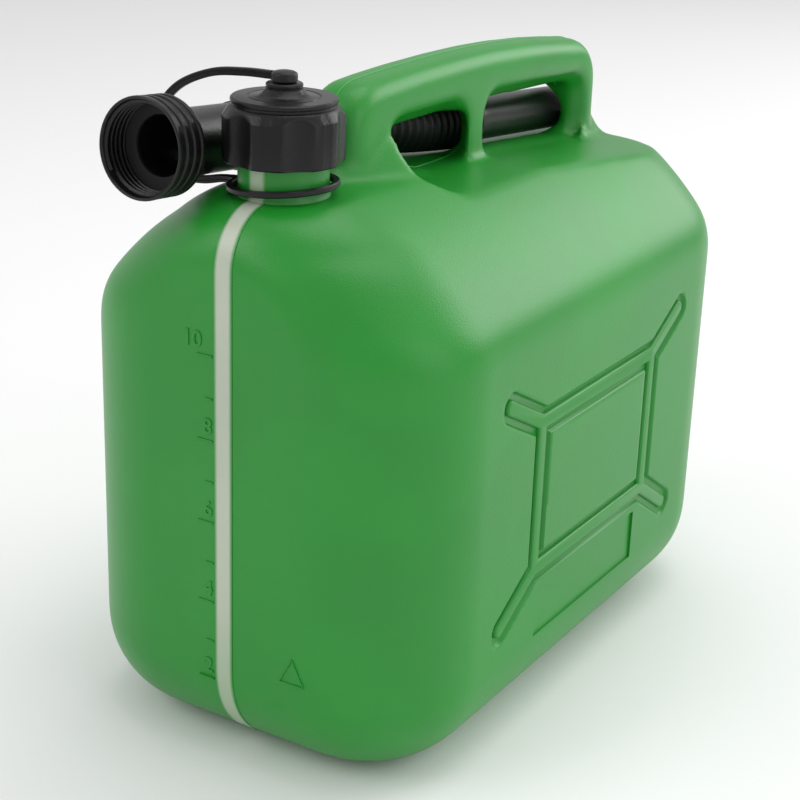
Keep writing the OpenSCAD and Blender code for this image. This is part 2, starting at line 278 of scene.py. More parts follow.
def spout_bed():
    """A cutter along the spout, open to its own side of the can."""
    bm = bmesh.new()
    bmesh.ops.create_circle(bm, segments=32, radius=1, cap_ends=False,
                            matrix=Matrix.Rotation(math.pi / 2, 4, "X"))
    for v in bm.verts:
        if v.co.x < -0.01:
            v.co.x = -6 * abs(v.co.x) ** 0.2
            v.co.z = math.copysign(abs(v.co.z) ** 0.2, v.co.z) if abs(v.co.z) > 0.01 else 0
    flat = [v.co.copy() for v in bm.verts]
    hose_bed, nozzle_bed = 14.1, 12.6
    stations = [(-100, 14.8), (-81, 14.2)] + [(y, hose_bed) for y in range(-70, 45, 10)]
    stations += [(47, hose_bed), (50, nozzle_bed), (NOZZLE_END_Y + 3.5, nozzle_bed)]
    ring = bm.verts[:]
    for k, (y, r) in enumerate(stations):
        if k:
            grown = bmesh.ops.extrude_edge_only(bm, edges=edges)
            ring = [g for g in grown["geom"] if isinstance(g, bmesh.types.BMVert)]
            edges = [g for g in grown["geom"] if isinstance(g, bmesh.types.BMEdge)]
        else:
            edges = bm.edges[:]
        mid = spout_mid(y)
        for v, c in zip(ring, flat):
            v.co = (mid.x + c.x * r, y, mid.z + c.z * r)
    bmesh.ops.holes_fill(bm, edges=bm.edges[:], sides=0)
    bmesh.ops.recalc_face_normals(bm, faces=bm.faces)
    return bm


bed_cut = made(spout_bed(), "bed_cut")
post_bm = bmesh.new()
post_bm.faces.new([post_bm.verts.new((x, y, SILL_Z)) for x, y in
                   ((13.2, 7.0), (2.0, 22.5), (-16, 22.5), (-16, -20), (13.2, -20))])
grown = bmesh.ops.extrude_face_region(post_bm, geom=post_bm.faces[:])
bmesh.ops.translate(post_bm, vec=(0, 0, 23.5),
                    verts=[g for g in grown["geom"] if isinstance(g, bmesh.types.BMVert)])
bmesh.ops.recalc_face_normals(post_bm, faces=post_bm.faces)
post_cut = made(post_bm, "post_cut")
cut(grip_blank, post_cut)
bpy.data.objects.remove(post_cut)
shelf_cut = made(block([
    (GAP_Y0, 300), (GAP_Y0, SILL_Z + 14), (GAP_Y0 + 6, SILL_Z + 5), (GAP_Y0 + 16, SILL_Z),
    (GAP_Y0 + 60, SILL_Z), (20, SILL_Z), (220, SILL_Z - 16), (220, 300)], 120), "shelf_cut")
cut(body, shelf_cut)
blanks = [body, grip_blank, front_root, rear_root]
for part in blanks:
    for tool in (front_cut, rear_cut, bed_cut):
        if part is not body or tool is bed_cut:
            cut(part, tool)
joined = bmesh.new()
for part in blanks:
    joined.from_mesh(part.data)
    bpy.data.objects.remove(part)
for tool in (front_cut, rear_cut, bed_cut, shelf_cut):
    bpy.data.objects.remove(tool)
bmesh.ops.scale(joined, vec=(1000, 1000, 1000), verts=joined.verts)
tank = made(joined, "tank_shell")
worked(
    tank,
    ("REMESH", {"mode": "VOXEL", "voxel_size": 0.0022, "use_smooth_shade": True}),
    ("SMOOTH", {"factor": 0.5, "iterations": 14}),
)
for v in tank.data.vertices:
    # leaves room for the raised marks on the front
    if v.co.y < 0:
        v.co.y *= 0.9966


# Pressed figure on both long sides: a framed field with an arm from each corner. Each line of it is
# a wide groove with a rib standing in its middle, and a label recess lies below on the plain side.
def stroke(a, b, side, odd, section):
    """A round-ended bar from a to b, each (along, up), a hair off its neighbours."""
    bm = bmesh.new()
    bmesh.ops.create_circle(bm, segments=24, radius=1, cap_ends=False)
    edges = bm.edges[:]
    ring = bm.verts[:]
    heading = Vector((b[0] - a[0], b[1] - a[1])).normalized()
    flat = [v.co.copy() for v in ring]
    for k, (depth, r) in enumerate(section):
        depth, r = depth * (1 + 0.003 * odd), r * (1 + 0.002 * odd)
        if k:
            grown = bmesh.ops.extrude_edge_only(bm, edges=edges)
            ring = [g for g in grown["geom"] if isinstance(g, bmesh.types.BMVert)]
            edges = [g for g in grown["geom"] if isinstance(g, bmesh.types.BMEdge)]
        for v, c in zip(ring, flat):
            end = b if c.x * heading.x + c.y * heading.y > 0 else a
            v.co = (side * (HALF_W + depth), end[0] + c.x * r, end[1] + c.y * r)
    bmesh.ops.holes_fill(bm, edges=bm.edges[:], sides=0)
    bmesh.ops.recalc_face_normals(bm, faces=bm.faces)
    return bm


GROOVE = [(2, 7.9), (0.03, 7.5), (-0.35, 7.1), (-1.0, 6.7), (-1.6, 6.4), (-1.9, 5.9)]
RIB = [(-0.1, 2.3), (-0.25, 2.8), (-0.7, 3.2), (-1.4, 3.5), (-3, 3.9)]
corners = [(-54.5, 77.5), (56.5, 77.5), (56.5, 147), (-54.5, 147)]
tips = [(-84.5, 60), (84.5, 60), (84.5, 162.5), (-84.5, 162.5)]
runs = [(corners[k], corners[(k + 1) % 4]) for k in range(4)] + list(zip(corners, tips))


def figure(side, section):
    whole = None
    for odd, (a, b) in enumerate(runs):
        line = made(stroke(a, b, side, odd, section), "line")
        if whole is None:
            whole = line
        else:
            worked(whole, ("BOOLEAN", {"operation": "UNION", "object": line}))
            bpy.data.objects.remove(line)
    return whole


tool, rib = figure(1, GROOVE), figure(1, RIB)
cut(tool, rib)
cut(tank, tool)
other_bm = bmesh.new()
other_bm.from_mesh(tool.data)
bmesh.ops.scale(other_bm, vec=(-1000, 1000, 1000), verts=other_bm.verts)
bmesh.ops.reverse_faces(other_bm, faces=other_bm.faces)
other_tool = made(other_bm, "other_tool")
cut(tank, other_tool)
for spent in (tool, rib, other_tool):
    bpy.data.objects.remove(spent)

pocket = block([(-52, 43), (49, 43), (49, 67.5), (-52, 67.5)], 1.1)
bmesh.ops.translate(pocket, vec=(HALF_W, 0, 0), verts=pocket.verts)
pocket = made(pocket, "pocket")
cut(tank, pocket)
bpy.data.objects.remove(pocket)
tank.data.shade_smooth()
tank.data.set_sharp_from_angle(angle=math.radians(50))


class Wire:
    """A shader socket that takes part in sums."""

    def __init__(self, tree, socket):
        self.tree, self.socket = tree, socket

    def node(self, kind, settings=None, **inputs):
        made_node = self.tree.nodes.new(kind)
        for key, value in (settings or {}).items():
            setattr(made_node, key, value)
        for key, value in inputs.items():
            numbered = key.startswith("n") and key[1:].isdigit()
            port = made_node.inputs[int(key[1:]) if numbered else key]
            if isinstance(value, Wire):
                self.tree.links.new(value.socket, port)
            else:
                port.default_value = value
        return made_node

    def sum(self, operation, *terms):
        done = self.node("ShaderNodeMath", {"operation": operation},
                         **{"n%d" % k: term for k, term in enumerate(terms)})
        return Wire(self.tree, done.outputs[0])

    def __add__(self, other):
        return self.sum("ADD", self, other)

    def __sub__(self, other):
        return self.sum("SUBTRACT", self, other)

    def __mul__(self, other):
        return self.sum("MULTIPLY", self, other)

    def __rsub__(self, other):
        return self.sum("SUBTRACT", other, self)

    def band(self, low, high):
        """0 below low, 1 above high, smooth between."""
        done = self.node("ShaderNodeMapRange", {"interpolation_type": "SMOOTHSTEP"},
                         n0=self, n1=low, n2=high)
        return Wire(self.tree, done.outputs[0])

    def mix(self, a, b):
        done = self.node("ShaderNodeMix", {"data_type": "RGBA"}, n0=self, n6=a, n7=b)
        return Wire(self.tree, done.outputs[2])


def plastic(name, colour, rough, grain, grain_size, tone):
    """Moulded plastic: slow changes of tone and gloss, and a fine grain in the surface."""
    mat = bpy.data.materials.new(name)
    mat.use_nodes = True
    tree = mat.node_tree
    shader = tree.nodes["Principled BSDF"]
    where = tree.nodes.new("ShaderNodeTexCoord")
    at = Wire(tree, where.outputs["Object"])
    cloud = Wire(tree, at.node("ShaderNodeTexNoise", Vector=at, Scale=14.0, Detail=3.0).outputs[0])
    fine = Wire(tree, at.node("ShaderNodeTexNoise", Vector=at, Scale=grain_size,
                              Detail=2.0).outputs[0])
    dark = tuple(c * (1 - tone) for c in colour) + (1.0,)
    light = tuple(min(1, c * (1 + tone)) for c in colour) + (1.0,)
    tint = cloud.band(0.35, 0.65).mix(dark, light)
    gloss = (cloud - 0.5) * 0.08 + (fine - 0.5) * 0.06 + rough
    bump = at.node("ShaderNodeBump", Strength=grain, Distance=0.0004, Height=fine)
    tree.links.new(tint.socket, shader.inputs["Base Color"])
    tree.links.new(gloss.socket, shader.inputs["Roughness"])
    tree.links.new(bump.outputs[0], shader.inputs["Normal"])
    shader.inputs["IOR"].default_value = 1.5
    if max(colour) < 0.03:
        shader.inputs["Specular IOR Level"].default_value = 0.3
    return mat, shader, at, tint


def dressed(piece, mat):
    piece.data.materials.clear()
    piece.data.materials.append(mat)


GREEN = (0.010, 0.25, 0.020)
green, _, _, _ = plastic("green_polyethylene", GREEN, 0.36, 0.25, 1400.0, 0.05)
dressed(tank, green)
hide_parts("tank")
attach(tank, "can")

# Parting line: the thin flash left where the two halves of the mould met, all round the middle
# of the shell, and the pinched-off stub under the front edge.
flash_bm = bmesh.new()
flash_bm.from_mesh(tank.data)
bmesh.ops.bisect_plane(
    flash_bm, geom=flash_bm.verts[:] + flash_bm.edges[:] + flash_bm.faces[:],
    plane_co=(0, 0, 0), plane_no=(1, 0, 0), clear_inner=True, clear_outer=True,
)
in_bed = [
    v for v in flash_bm.verts
    if (Vector((0, v.co.y * 1000, v.co.z * 1000)) - spout_mid(v.co.y * 1000)).length < 17
    or (abs(v.co.y * 1000 - NECK_Y) < 17 and v.co.z * 1000 > 200)
    or (v.co.y * 1000 < NECK_Y and v.co.z > 0.012)
]
bmesh.ops.delete(flash_bm, geom=in_bed, context="VERTS")
flash_mesh = bpy.data.meshes.new("flash_path")
flash_bm.to_mesh(flash_mesh)
flash_bm.free()
flash_object = bpy.data.objects.new("flash_path", flash_mesh)
bpy.context.scene.collection.objects.link(flash_object)
for other in bpy.context.selected_objects:
    other.select_set(False)
bpy.context.view_layer.objects.active = flash_object
flash_object.select_set(True)
bpy.ops.object.convert(target="CURVE")
flash_object.data.bevel_depth = 0.0004
flash_object.data.bevel_resolution = 1
flash_object.data.use_fill_caps = True
bpy.ops.object.convert(target="MESH")
flash_object.name = "parting_line"
for v in flash_object.data.vertices:
    v.co.y = max(-HALF_L / 1000 + 0.0001, min(HALF_L / 1000 - 0.0001, v.co.y))
    v.co.z = max(0.0002, v.co.z)
flash_object.select_set(False)
flash_object.data.shade_smooth()
flash_green, _, _, _ = plastic("parting_line_green", (0.03, 0.34, 0.05), 0.4, 0.1, 1400.0, 0.05)
dressed(flash_object, flash_green)
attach(flash_object, "can")

stub_bm = block([(-112, -0.1), (-112, 1.6), (-106, 1.6), (-100, 0.2), (-100, -0.1)], 1.2)
bmesh.ops.translate(stub_bm, vec=(0, 0, 0.1), verts=stub_bm.verts)
bmesh.ops.bevel(stub_bm, geom=stub_bm.edges[:], offset=0.3, offset_type="OFFSET", segments=2,
                profile=0.5, material=-1, affect="EDGES")
stub = made(stub_bm, "pinch_off_stub")
dressed(stub, flash_green)
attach(stub, "can")

# Raised scale on the front: a long tick and its number at each second litre, a short tick between,
# and the moulder's plain triangle. All stand half a millimetre out of the shell.
MARK_Z, MARK_STEP = 38.9, 36.5
scale_bm = bmesh.new()


def bar(bm, a, b, wide):
    """A raised stroke on the front face from a to b, each (across, up)."""
    run = Vector((b[0] - a[0], 0, b[1] - a[1]))
    grown = bmesh.ops.create_cube(bm, size=1)["verts"]
    bmesh.ops.scale(bm, vec=(run.length, 1.2, wide), verts=grown)
    for v in grown:
        if v.co.y < 0:
            v.co.z *= 0.55
    turn = Matrix.Rotation(-math.atan2(run.z, run.x), 4, "Y")
    middle = Vector(((a[0] + b[0]) / 2, 0.62 - HALF_L, (a[1] + b[1]) / 2))
    bmesh.ops.transform(bm, matrix=Matrix.Translation(middle) @ turn, verts=grown)


for litres in range(2, 11, 2):
    z = MARK_Z + MARK_STEP * (litres / 2 - 1)
    bar(scale_bm, (-13, z), (-5.2, z), 1.1)
    if litres < 10:
        bar(scale_bm, (-9, z + 18.2), (-5.2, z + 18.2), 1.1)
for a, b in (((29, 49.5), (35, 61)), ((35, 61), (41, 49.5)), ((41, 49.5), (29, 49.5))):
    bar(scale_bm, a, b, 0.8)
bmesh.ops.recalc_face_normals(scale_bm, faces=scale_bm.faces)
scale_marks = made(scale_bm, "scale_ticks")
mark_green, _, _, _ = plastic("scale_green", GREEN, 0.36, 0.1, 1400.0, 0.05)
dressed(scale_marks, mark_green)
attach(scale_marks, "can")
for litres in range(2, 11, 2):
    number = bpy.data.curves.new("number_%d" % litres, "FONT")
    number.body = str(litres)
    number.size = 9.5
    number.extrude = 0.6
    number.bevel_depth = 0.25
    number.bevel_resolution = 1
    number.offset = -0.04
    number.align_x = "RIGHT"
    holder = bpy.data.objects.new("scale_number_%d" % litres, number)
    bpy.context.scene.collection.objects.link(holder)
    bpy.context.view_layer.update()
    solid = bpy.data.meshes.new_from_object(
        holder.evaluated_get(bpy.context.evaluated_depsgraph_get()))
    bpy.data.objects.remove(holder)
    number_bm = bmesh.new()
    number_bm.from_mesh(solid)
    bpy.data.meshes.remove(solid)
    bmesh.ops.remove_doubles(number_bm, verts=number_bm.verts, dist=0.0005)
    stand = Matrix.Translation((-5.5 if litres < 10 else -10.5, 0.87 - HALF_L,
                                MARK_Z + MARK_STEP * (litres / 2 - 1) + 3)) @ Matrix.Rotation(
                                    math.pi / 2, 4, "X")
    number_piece = made(number_bm, "scale_number_%d" % litres, stand)
    dressed(number_piece, mark_green)
    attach(number_piece, "can")

# View stripe: an uncoloured strip left in the shell down the front, through which the level shows.
# It lies flush, and the green runs a little into its edges.
stripe_bm = bmesh.new()
STRIPE_HALF = 4.6
heights = [FOOT_R * (1 - math.cos(math.radians(t))) for t in range(24, 90, 6)]
heights += [41.5, 43.5, 46] + [50 + 5 * k for k in range(34)]
heights += [221, 225, 229, 232, 235, 237.5, 240, 241.5, 243, 244]
first = None
rows = [(-HALF_L + end_in(z), z) for z in heights]
rows += [(y, CROWN_Z) for y in (-136.5, -132)]
for y, z in rows:
    pair = [stripe_bm.verts.new((x, y, z)) for x in (-STRIPE_HALF, -2.6, 2.6, STRIPE_HALF)]
    if first:
        for k in range(3):
            stripe_bm.faces.new((first[k], first[k + 1], pair[k + 1], pair[k]))
    first = pair
bmesh.ops.recalc_face_normals(stripe_bm, faces=stripe_bm.faces)
for f in stripe_bm.faces:
    if f.normal.y > 0.1 or f.normal.z < -0.9:
        f.normal_flip()
bmesh.ops.solidify(stripe_bm, geom=stripe_bm.faces[:], thickness=1.0)
bmesh.ops.recalc_face_normals(stripe_bm, faces=stripe_bm.faces)
skin_of_tank = BVHTree.FromObject(tank, bpy.context.evaluated_depsgraph_get())
stripe = made(stripe_bm, "level_stripe")
for v in stripe.data.vertices:
    hit, normal, _, _ = skin_of_tank.find_nearest(v.co)
    inner = (v.co - hit).dot(normal) < -0.00025
    v.co = hit + normal * (-0.0008 if inner else 0.00026)
stripe.data.update()
clear, clear_shader, at, tint = plastic(
    "uncoloured_polyethylene", (0.47, 0.52, 0.42), 0.32, 0.15, 1400.0, 0.04)
side_split = at.node("ShaderNodeSeparateXYZ", Vector=at)
sideways = Wire(at.tree, side_split.outputs[0])
away = sideways.sum("ABSOLUTE", sideways)
edge = away.band(0.0026, 0.0046)
# painted shade: from 90 mm down to 30 mm the strip fades to a darker colour, where the foot curves
# under towards the floor
low = Wire(at.tree, side_split.outputs[2]).band(0.03, 0.09)
pale = low.mix((0.36, 0.47, 0.32, 1), tint)
at.tree.links.new(edge.mix(pale, GREEN + (1.0,)).socket, clear_shader.inputs["Base Color"])
dressed(stripe, clear)
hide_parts("view_stripe")
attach(stripe, "can")


# Filler neck: a round spigot standing on the crown, of the tank's own green, with a coarse thread
# near its top. The uncoloured stripe runs on up its front.
def turned(profile, steps=72):
    """A turned body: the profile, each (radius, height), spun round the upright axis."""
    bm = bmesh.new()
    ring = [bm.verts.new((r, 0, z)) for r, z in profile]
    spans = [bm.edges.new((a, b)) for a, b in zip(ring, ring[1:])]
    spans.append(bm.edges.new((ring[-1], ring[0])))
    bmesh.ops.spin(bm, geom=ring + spans, cent=(0, 0, 0), axis=(0, 0, 1), dvec=(0, 0, 0),
                   angle=2 * math.pi, steps=steps, use_merge=True)
    bmesh.ops.remove_doubles(bm, verts=bm.verts, dist=0.002)
    bmesh.ops.dissolve_degenerate(bm, edges=bm.edges, dist=0.001)
    bmesh.ops.recalc_face_normals(bm, faces=bm.faces)
    return bm


def thread(bm, root, crest, start, pitch, turns, half_root, half_crest, steps=56):
    """A helical ridge, its ends closed, from radius root to crest."""
    sink = 0.4 if crest > root else -0.4
    shape = [(root - sink, -half_root), (root, -half_root), (crest, -half_crest),
             (crest, half_crest), (root, half_root), (root - sink, half_root)]
    ring = [bm.verts.new((r, 0, start + z)) for r, z in shape]
    face = bm.faces.new(ring)
    count = int(steps * turns)
    grown = bmesh.ops.spin(bm, geom=[face], cent=(0, 0, 0), axis=(0, 0, 1),
                           dvec=(0, 0, pitch / steps), angle=2 * math.pi * turns, steps=count,
                           use_merge=False)
    bmesh.ops.recalc_face_normals(bm, faces=bm.faces)


NECK_R, NECK_H, PITCH = 17.6, 34.0, 4.5
THREAD_R = NECK_R + 1.0
NECK_TOP = CROWN_Z + NECK_H
at_neck = Matrix.Translation((0, NECK_Y, 0))
neck_bm = turned([
    (15.0, CROWN_Z - 2), (19.4, CROWN_Z - 2), (19.2, CROWN_Z + 0.3), (18.8, CROWN_Z + 1.0),
    (18.6, CROWN_Z + 2.2), (18.5, CROWN_Z + 17), (NECK_R, CROWN_Z + 18), (NECK_R, NECK_TOP - 1.2),
    (17.2, NECK_TOP - 0.4), (16.6, NECK_TOP), (15.6, NECK_TOP), (15.0, NECK_TOP - 0.6)])
thread(neck_bm, NECK_R, THREAD_R, NECK_TOP - 3 - 2.6 * PITCH, PITCH, 2.5, 1.4, 0.5)
neck = made(neck_bm, "filler_spigot", at_neck)
neck_green, neck_shader, at, tint = plastic("neck_green", GREEN, 0.36, 0.25, 1400.0, 0.05)
parts_of = at.node("ShaderNodeSeparateXYZ", Vector=at)
sideways = Wire(at.tree, parts_of.outputs[0])
away = sideways.sum("ABSOLUTE", sideways)
forward = Wire(at.tree, parts_of.outputs[1])
band = (1 - away.band(0.0022, 0.0044)) * (1 - forward.band(-0.1260, -0.1250))
at.tree.links.new(band.mix(tint, (0.34, 0.46, 0.30, 1)).socket, neck_shader.inputs["Base Color"])
dressed(neck, neck_green)
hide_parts("filler_neck")
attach(neck, "can")

# Screw cap: a black moulding with six shallow finger flutes, a flange and a stud for the tether.
# Its skirt is threaded inside and a soft washer seals on the neck's rim.
CAP_R, CAP_H, FLUTE_D, FLUTE_R, FLUTE_TURN = 24.8, 22.0, 2.0, 17.0, math.radians(19)
CAP_TOP = NECK_TOP + 1.8
CAP_Z = CAP_TOP - CAP_H
black, _, _, _ = plastic("black_moulding", (0.006, 0.006, 0.0063), 0.3, 0.3, 1100.0, 0.15)
black_soft, _, _, _ = plastic("black_flexible", (0.007, 0.007, 0.0073), 0.38, 0.35, 900.0, 0.2)
seal_grey, _, _, _ = plastic("seal_rubber", (0.02, 0.02, 0.02), 0.7, 0.4, 1500.0, 0.15)


def fluted(r, turn):
    """The smaller of r and the distance to the nearest flute's wall, at this turn."""
    off = (turn - FLUTE_TURN + math.pi / 6) % (math.pi / 3) - math.pi / 6
    far = CAP_R - FLUTE_D + FLUTE_R
    inside = FLUTE_R**2 - (far * math.sin(off)) ** 2
    wall = far * math.cos(off) - math.sqrt(inside) if inside > 0 else r
    soft = 0.25
    gap = (r - wall) / soft
    if gap > 20:
        return wall
    return r - soft * math.log1p(math.exp(gap)) if gap > -20 else r


cap_bm = bmesh.new()
bmesh.ops.create_circle(cap_bm, segments=180, radius=1, cap_ends=False)
T = CAP_H
outside = [
    (20.4, 0.5), (21.0, 0), (24.2, 0), (24.8, 0.6), (24.8, T - 4.2), (24.6, T - 3.7),
    (24.2, T - 3.1), (23.7, T - 2.4), (23.2, T - 1.7), (22.7, T - 1.0), (22.2, T - 0.3),
    (21.7, T), (21.1, T + 0.35), (21.1, T + 1.2),
    (21.5, T + 1.7), (21.6, T + 2.2), (21.5, T + 2.9), (20.9, T + 3.4), (15.2, T + 3.5),
    (14.9, T + 3.2), (14.3, T + 3.2), (14.0, T + 3.55), (10.6, T + 3.9), (9.2, T + 4.7),
    (8.0, T + 6.0), (7.5, T + 6.5), (7.5, T + 7.2), (7.1, T + 7.4), (7.1, T + 7.7),
    (7.5, T + 7.9), (7.4, T + 8.6), (6.8, T + 9.0), (2.9, T + 9.0), (2.8, T + 9.0),
    (2.8, T + 11.8), (2.4, T + 12.2), (1.2, T + 12.3)]
ring, edges = cap_bm.verts[:], cap_bm.edges[:]
turns = [math.atan2(v.co.y, v.co.x) for v in ring]
for k, (r, z) in enumerate(outside):
    if k:
        grown = bmesh.ops.extrude_edge_only(cap_bm, edges=edges)
        ring = [g for g in grown["geom"] if isinstance(g, bmesh.types.BMVert)]
        edges = [g for g in grown["geom"] if isinstance(g, bmesh.types.BMEdge)]
    for v, turn in zip(ring, turns):
        reach = fluted(r, turn) if r > 21.9 else r
        v.co = (reach * math.cos(turn), reach * math.sin(turn), z)
bmesh.ops.contextual_create(cap_bm, geom=edges)
ring, edges = None, [e for e in cap_bm.edges if e.is_boundary]
ring = list({v for e in edges for v in e.verts})
for r, z in ((20.0, 0.9), (20.0, T - 0.6), (19.6, T), (14.0, T)):
    grown = bmesh.ops.extrude_edge_only(cap_bm, edges=edges)
    ring = [g for g in grown["geom"] if isinstance(g, bmesh.types.BMVert)]
    edges = [g for g in grown["geom"] if isinstance(g, bmesh.types.BMEdge)]
    for v in ring:
        turn = math.atan2(v.co.y, v.co.x)
        v.co = (r * math.cos(turn), r * math.sin(turn), z)
bmesh.ops.contextual_create(cap_bm, geom=edges)
bmesh.ops.recalc_face_normals(cap_bm, faces=cap_bm.faces)
thread(cap_bm, 20.0, 18.9, 5.2, PITCH, 2.4, 1.2, 0.4)
cap = made(cap_bm, "fluted_cap", Matrix.Translation((0, NECK_Y, CAP_Z)))
dressed(cap, black)
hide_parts("screw_cap")
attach(cap, "cap")

washer_bm = turned([(12.0, 0.2), (12.2, 0.0), (19.0, 0.0), (19.3, 0.3), (19.3, 1.5), (19.0, 1.75),
                    (12.2, 1.75), (12.0, 1.5)])
washer = made(washer_bm, "cap_washer", Matrix.Translation((0, NECK_Y, NECK_TOP)))
dressed(washer, seal_grey)
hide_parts("cap_gasket")
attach(washer, "cap")

# Tether: one black flexible moulding. A flat ring hangs round the neck, a band runs from it under
# and over the spout, and its button snaps over the stud on the cap.
RING_IN, RING_OUT, RING_T = NECK_R + 2.6, NECK_R + 5.4, 2.6
RING_Z = CROWN_Z + 2.4
EYE_Z, EYE_R = CAP_TOP + 3.4 + 5.6 + 0.3, 5.3
ring_bm = turned([
    (RING_IN + 0.5, 0), (RING_OUT - 0.5, 0), (RING_OUT, 0.5), (RING_OUT, RING_T - 0.5),
    (RING_OUT - 0.5, RING_T), (RING_IN + 0.5, RING_T), (RING_IN, RING_T - 0.5), (RING_IN, 0.5)], 96)
hung = Matrix.Translation((0, NECK_Y, RING_Z)) @ Matrix.Rotation(math.radians(-4), 4, "Y")
tether_ring = made(ring_bm, "tether_collar", hung)
dressed(tether_ring, black_soft)
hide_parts("tether_ring")
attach(tether_ring, "can")

route = [
    (-RING_OUT - 0.03, RING_Z - 0.3), (-31, RING_Z - 1.2), (-41, RING_Z - 3.2), (-52, RING_Z - 3),
    (-62.5, RING_Z + 3), (-66, RING_Z + 14), (-62, RING_Z + 25), (-52, RING_Z + 35),
    (-36, EYE_Z - 0.9), (-20, EYE_Z + 1.3), (-EYE_R - 0.4, EYE_Z + 1.8)]


def route_at(s):
    """A point on a smooth curve through the route."""
    k = min(len(route) - 2, int(s))
    t = s - k
    a, b, c, d = (Vector(route[max(0, min(len(route) - 1, j))]) for j in (k - 1, k, k + 1, k + 2))
    return 0.5 * (2 * b + (c - a) * t + (2 * a - 5 * b + 4 * c - d) * t * t
                  + (3 * b - a - 3 * c + d) * t**3)


band_bm = bmesh.new()
# the band's section: along the can, and across the band, with a shallow channel in each broad face
section = [(-1.3, -1.3), (-0.9, -1.65), (0.9, -1.65), (1.3, -1.3), (1.3, -0.55), (1.0, -0.3),
           (1.0, 0.3), (1.3, 0.55), (1.3, 1.3), (0.9, 1.65), (-0.9, 1.65), (-1.3, 1.3),
           (-1.3, 0.55), (-1.0, 0.3), (-1.0, -0.3), (-1.3, -0.55)]
ring = [band_bm.verts.new((a, b, 0)) for a, b in section]
edges = [band_bm.edges.new((ring[k], ring[(k + 1) % len(ring)])) for k in range(len(ring))]
band_bm.faces.new(ring)
STATIONS = 90
for k in range(STATIONS + 1):
    s = (len(route) - 1) * k / STATIONS
    here, ahead = route_at(s), route_at(min(len(route) - 1, s + 0.02)) - route_at(max(0, s - 0.02))
    side = Vector((-ahead[1], ahead[0])).normalized()
    if k:
        grown = bmesh.ops.extrude_edge_only(band_bm, edges=edges)
        ring = [g for g in grown["geom"] if isinstance(g, bmesh.types.BMVert)]
        edges = [g for g in grown["geom"] if isinstance(g, bmesh.types.BMEdge)]
    wide = 1 + 1.6 * max(0, 1 - s / 1.3) ** 2
    for v, (a, b) in zip(ring, section):
        v.co = (here[0] + side[0] * b * (1 - 0.25 * max(0, 1 - s / 1.3)), NECK_Y + a * wide,
                here[1] + side[1] * b * (1 - 0.25 * max(0, 1 - s / 1.3)))
bmesh.ops.contextual_create(band_bm, geom=edges)
bmesh.ops.recalc_face_normals(band_bm, faces=band_bm.faces)
band_piece = made(band_bm, "tether_band")
dressed(band_piece, black_soft)
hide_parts("tether_strap")
(RING_Z + 2) / 1000
(EYE_Z - 4) / 1000
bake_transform(band_piece)

button_bm = turned([(3.0, 0.0), (4.9, 0.0), (5.3, 0.4), (5.3, 2.9), (5.0, 3.4), (4.2, 3.9),
                    (3.0, 4.2), (1.5, 4.38), (0.0, 4.4), (0.0, 3.6), (3.0, 3.6)], 48)
button = made(button_bm, "tether_button", Matrix.Translation((0, NECK_Y, EYE_Z)))
dressed(button, black_soft)
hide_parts("tether_eye")
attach(button, "cap_eye")

# Spout: a black cup, threaded inside to screw on to the neck, on a smooth sleeve. Beside the grip
# it runs on as a corrugated hose and a smooth nozzle, which lie in the grip's side.
tilt = Matrix.Rotation(math.pi / 2 - SPOUT_TILT, 4, "X")


def on_spout(y):
    return Matrix.Translation(spout_mid(y)) @ tilt


COS = math.cos(SPOUT_TILT)
DEEP, LONG = 16 / COS, 22 / COS
ALL = LONG + 43 / COS
cup_profile = [(19.1, -0.8), (19.5, -0.2), (20.2, 0.0), (20.7, -0.3), (20.8, -0.9), (20.8, -2.2),
               (20.4, -2.8), (20.0, -3.2)]
for k in range(3):
    z = -4.4 - k * DEEP / 3.4
    cup_profile += [(20.0, z), (20.5, z - 0.4), (20.7, z - 0.9), (20.7, z - 1.8), (20.5, z - 2.3),
                    (20.0, z - 2.7)]
cup_profile += [
    (20.0, -DEEP), (19.6, -DEEP - 0.8), (17.4, 2.2 - LONG), (15.2, 1.0 - LONG), (14.2, 0.2 - LONG),
    (14.0, -0.6 - LONG), (14.0, 3.2 - ALL), (14.4, 3.0 - ALL), (14.6, 2.6 - ALL), (14.6, 0.4 - ALL),
    (14.3, -ALL + 0.05), (12.3, -ALL + 0.05), (12.2, -ALL + 0.4), (12.2, -1.2 - DEEP),
    (12.6, 0.9 - DEEP), (19.1, 1.0 - DEEP)]
cup_bm = turned(cup_profile, 96)
thread(cup_bm, 19.1, 17.9, -14.0, 2.6, 4.6, 0.95, 0.3)
cup = made(cup_bm, "spout_cup_and_sleeve", on_spout(CUP_Y))
dressed(cup, black)
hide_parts("spout_cup")
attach(cup, "spout")

cup_seal_bm = turned([(12.6, 0.2), (12.8, 0), (18.2, 0), (18.5, 0.3), (18.5, 1.4), (18.2, 1.7),
                      (12.8, 1.7), (12.6, 1.5)])
bmesh.ops.translate(cup_seal_bm, vec=(0, 0, 1.05 - DEEP), verts=cup_seal_bm.verts)
cup_seal = made(cup_seal_bm, "spout_washer", on_spout(CUP_Y))
dressed(cup_seal, seal_grey)
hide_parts("spout_gasket")
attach(cup_seal, "spout")

